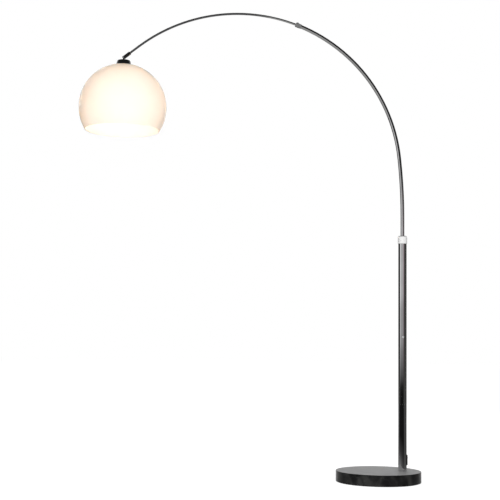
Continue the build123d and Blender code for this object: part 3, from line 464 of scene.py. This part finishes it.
def felt_disc():
    """A disc in the place of the plain pad, with its edge bulged and frayed a little."""
    low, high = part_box("felt_pad")
    middle = (low + high) / 2
    radius = (high.x - low.x) / 2 - FELT_FUZZ
    thick = high.z - low.z
    profile = [
        (0.0, 0.0), (FELT_RING, 0.0), (FELT_EDGE, 0.0), (1.0, FELT_BULGE),
        (1.0, 1.0 - FELT_BULGE), (FELT_EDGE, 1.0), (0.0, 1.0)]
    fray = random.Random(FELT_SEED)
    shape = bmesh.new()
    rings = []
    for share, level in profile:
        ring = []
        for side in range(FELT_SIDES if share else 1):
            turn = math.tau * side / FELT_SIDES
            reach = radius * share
            if share >= FELT_EDGE:
                reach += fray.uniform(-FELT_FUZZ, FELT_FUZZ)
            x = middle.x + reach * math.cos(turn)
            y = middle.y + reach * math.sin(turn)
            ring.append(shape.verts.new((x, y, low.z + thick * level)))
        rings.append(ring)
    for inner, outer in zip(rings, rings[1:]):
        for side in range(FELT_SIDES):
            after = (side + 1) % FELT_SIDES
            corners = [
                inner[side % len(inner)], inner[after % len(inner)],
                outer[after % len(outer)], outer[side % len(outer)]]
            shape.faces.new(dict.fromkeys(corners))
    bmesh.ops.recalc_face_normals(shape, faces=shape.faces)
    disc = add_object("felt_disc", shape, finishes["felt"])
    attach(disc, "stand")
    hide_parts("felt_pad")


felt_disc()


# Studio

def flat_stage(name, radius, height, material, sides=4):
    """A level stage surface round the origin."""
    shape = bmesh.new()
    bmesh.ops.create_circle(shape, cap_ends=True, radius=radius, segments=sides)
    surface = add_object(name, shape, material)
    surface.location.z = height
    return surface


def shown_in_reflections_only(surface):
    """Hide a stage surface from the camera and from everything but gloss."""
    surface.visible_camera = False
    surface.visible_diffuse = False
    surface.visible_transmission = False
    surface.visible_volume_scatter = False
    surface.visible_shadow = False


def seen_directly(tree):
    """1 for camera, mirror and glass rays, 0 for the rays that light matt surfaces."""
    path = tree.nodes.new("ShaderNodeLightPath")
    total = path.outputs["Is Camera Ray"]
    for name in ("Is Glossy Ray", "Is Transmission Ray"):
        total = calculate(tree, "MAXIMUM", total, path.outputs[name])
    return total


def white_world():
    """White behind the lamp, and an even pale light on it."""
    world = bpy.data.worlds.new("studio")
    bpy.context.scene.world = world
    world.use_nodes = True
    tree = world.node_tree
    background = tree.nodes["Background"]
    background.inputs["Color"].default_value = (1, 1, 1, 1)
    feed(tree, background, Strength=spread(tree, seen_directly(tree), AMBIENT, 1.0, 0.0, 1.0))


def white_floor():
    """A pale floor that looks white and keeps the lamp's shadow."""
    material, tree, shader = start_material("floor")
    settle(shader, Base_Color=(*FLOOR_COLOUR, 1), Roughness=0.9, Specular_IOR_Level=0.0)
    settle(shader, Emission_Color=(1, 1, 1, 1))
    glow = spread(tree, seen_directly(tree), FLOOR_BOUNCE, FLOOR_GLOW, 0.0, 1.0)
    feed(tree, shader, Emission_Strength=glow)
    flat_stage("floor", FLOOR_SIZE, -FLOOR_DROP, material)


def soft_light(name, place, size, power):
    """A square soft light that faces the lamp."""
    light = bpy.data.lights.new(name, "AREA")
    light.size = size
    light.energy = power
    panel = bpy.data.objects.new(name, light)
    panel.location = place
    panel.rotation_euler = (LIGHT_AIM - Vector(place)).to_track_quat("-Z", "Y").to_euler()
    panel.visible_glossy = False
    bpy.context.scene.collection.objects.link(panel)


def make_camera():
    """The photograph's view: level with the pole's middle, tipped up and rolled a little."""
    across = Vector((1, 0, 0))
    ahead = Vector((0, math.cos(CAMERA_PITCH), math.sin(CAMERA_PITCH)))
    above = across.cross(ahead)
    right = across * math.cos(CAMERA_ROLL) + above * math.sin(CAMERA_ROLL)
    up = above * math.cos(CAMERA_ROLL) - across * math.sin(CAMERA_ROLL)
    lens = bpy.data.cameras.new("camera")
    lens.lens = CAMERA_LENS
    camera = bpy.data.objects.new("camera", lens)
    turn = Matrix((right, up, -ahead)).transposed().to_4x4()
    camera.matrix_world = Matrix.Translation(CAMERA_PLACE) @ turn
    bpy.context.scene.collection.objects.link(camera)
    bpy.context.scene.camera = camera


def glowing_material(name, colour):
    """A stage material that shows a colour without being lit: an even one, or what a function makes."""
    material, tree, shader = start_material(name)
    settle(shader, Base_Color=(0, 0, 0, 1), Specular_IOR_Level=0.0, Emission_Strength=1.0)
    if callable(colour):
        feed(tree, shader, Emission_Color=colour(tree))
    else:
        settle(shader, Emission_Color=(*colour, 1))
    material.cycles.emission_sampling = "NONE"
    return material


def turn_stops(*stops):
    """Ramp stops from angles in degrees, -180 to 180."""
    return [(angle / 360 + 0.5, colour) for angle, colour in stops]


def height_stops(*stops):
    """Ramp stops from heights up the wall in metres."""
    return [(height / SURROUND_HEIGHT, grey(share)) for height, share in stops]


def wall_colour(tree):
    """What stands round the lamp, by the angle from the camera's side and by the height."""
    place = own_coordinates(tree)
    forward = calculate(tree, "MULTIPLY", place["Y"], -1.0)
    angle = calculate(tree, "ARCTAN2", place["X"], forward)
    turn = spread(tree, angle, 0.0, 1.0, -math.pi, math.pi)
    height = spread(tree, place["Z"], 0.0, 1.0, 0.0, SURROUND_HEIGHT)
    bright = colours(tree, turn, *turn_stops(
        (-180, WALL_BACK), (-166, WALL_BACK), (-162, WALL_DARK), (-104, WALL_DARK), (-90, WALL_BLACK),
        (-77, WALL_BLACK), (-73, WALL_BRIGHT), (-50, WALL_BRIGHT), (-46, WALL_GREY), (8, WALL_GREY),
        (12, WALL_ROSE), (38, WALL_ROSE), (43, WALL_DARK), (162, WALL_DARK), (166, WALL_BACK),
        (180, WALL_BACK)))
    dim = colours(tree, turn, *turn_stops(
        (-180, WALL_BACK), (-166, WALL_BACK), (-162, WALL_DARK), (-84, WALL_DARK), (-60, WALL_BLACK),
        (20, WALL_BLACK), (43, WALL_DARK), (162, WALL_DARK), (166, WALL_BACK), (180, WALL_BACK)))
    high = colours(tree, turn, *turn_stops(
        (-180, WALL_BACK), (-130, WALL_BACK), (-112, WALL_HIGH), (-84, WALL_HIGH), (-60, WALL_BLACK),
        (20, WALL_BLACK), (43, WALL_HIGH), (112, WALL_HIGH), (130, WALL_BACK), (180, WALL_BACK)))
    level = colours(tree, height, *height_stops(
        (0.11, 0.0), (0.17, 0.02), (0.32, 0.22), (0.52, 0.45), (0.62, 0.66), (0.95, 0.7), (1.1, 1.0),
        (1.8, 1.0), (2.05, 0.6), (2.3, 0.3), (2.5, 0.04)))
    above = colours(tree, height, *height_stops((2.2, 0.0), (2.6, 1.0)))
    return fade(tree, above, fade(tree, level, dim, bright), high)


def floor_card_colour(tree):
    """Dark in front, with a lighter patch beside the base, dim at the sides and light far behind."""
    place = tree.nodes.new("ShaderNodeTexCoord")
    apart = tree.nodes.new("ShaderNodeVectorMath")
    apart.operation = "DISTANCE"
    apart.inputs[1].default_value = FLOOR_CARD_PLACE
    tree.links.new(place.outputs["Object"], apart.inputs[0])
    share = spread(tree, apart.outputs["Value"], 0.0, 1.0, 0.0, FLOOR_CARD_REACH)
    stops = [(reach / FLOOR_CARD_REACH, grey(light)) for reach, light in FLOOR_CARD_STOPS]
    patch = colours(tree, share, *stops)
    own = own_coordinates(tree)
    rightwards = calculate(tree, "MAXIMUM", own["X"], 0.0)
    back = calculate(tree, "MULTIPLY_ADD", rightwards, FLOOR_CARD_TURN, own["Y"])
    behind = spread(tree, back, 0.0, 1.0, *FLOOR_CARD_EDGE)
    dim = colours(tree, behind, (0.0, grey(0.0)), (1.0, grey(FLOOR_CARD_SIDES)))
    aside = calculate(tree, "ABSOLUTE", own["X"])
    far = calculate(tree, "MULTIPLY_ADD", aside, -FLOOR_CARD_REAR_TURN, own["Y"])
    rear = spread(tree, far, 0.0, 1.0, *FLOOR_CARD_REAR_EDGE)
    lit = colours(tree, rear, (0.0, grey(0.0)), (1.0, grey(FLOOR_CARD_REAR)))
    return combine(tree, "ADD", combine(tree, "ADD", patch, dim), lit)


def arm_card():
    """A level card in front of and under the arm."""
    shape = bmesh.new()
    (left, front), (right, back) = ARM_CARD_LOW, ARM_CARD_HIGH
    corners = ((left, front), (right, front), (right, back), (left, back))
    shape.faces.new([shape.verts.new((x, y, 0.0)) for x, y in corners])
    card = add_object("arm_card", shape, glowing_material("arm_card", ARM_CARD))
    card.location.z = ARM_CARD_HEIGHT
    return card


def surround():
    """A wall, ceiling and two cards round the pole that only the lamp's gloss shows."""
    low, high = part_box("pole_tube")
    pole_x = (low.x + high.x) / 2
    shape = bmesh.new()
    bmesh.ops.create_cone(shape, segments=SURROUND_SIDES, depth=SURROUND_HEIGHT,
                          radius1=SURROUND_RADIUS, radius2=SURROUND_RADIUS)
    bmesh.ops.translate(shape, verts=shape.verts, vec=(0, 0, SURROUND_HEIGHT / 2))
    wall = add_object("surround_wall", shape, glowing_material("surround_wall", wall_colour))
    ceiling = flat_stage("surround_ceiling", SURROUND_RADIUS, SURROUND_HEIGHT,
                         glowing_material("surround_ceiling", CEILING), SURROUND_SIDES)
    card = flat_stage("surround_floor", SURROUND_RADIUS, FLOOR_CARD_RISE - FLOOR_DROP,
                      glowing_material("surround_floor", floor_card_colour), SURROUND_SIDES)
    for surface in (wall, ceiling, card, arm_card()):
        surface.location.x = pole_x
        shown_in_reflections_only(surface)


white_world()
white_floor()
surround()
soft_light("key", KEY_PLACE, KEY_SIZE, KEY_POWER)
soft_light("fill", FILL_PLACE, FILL_SIZE, FILL_POWER)
soft_light("back", BACK_PLACE, BACK_SIZE, BACK_POWER)
make_camera()
bpy.context.scene.view_settings.view_transform = "Standard"
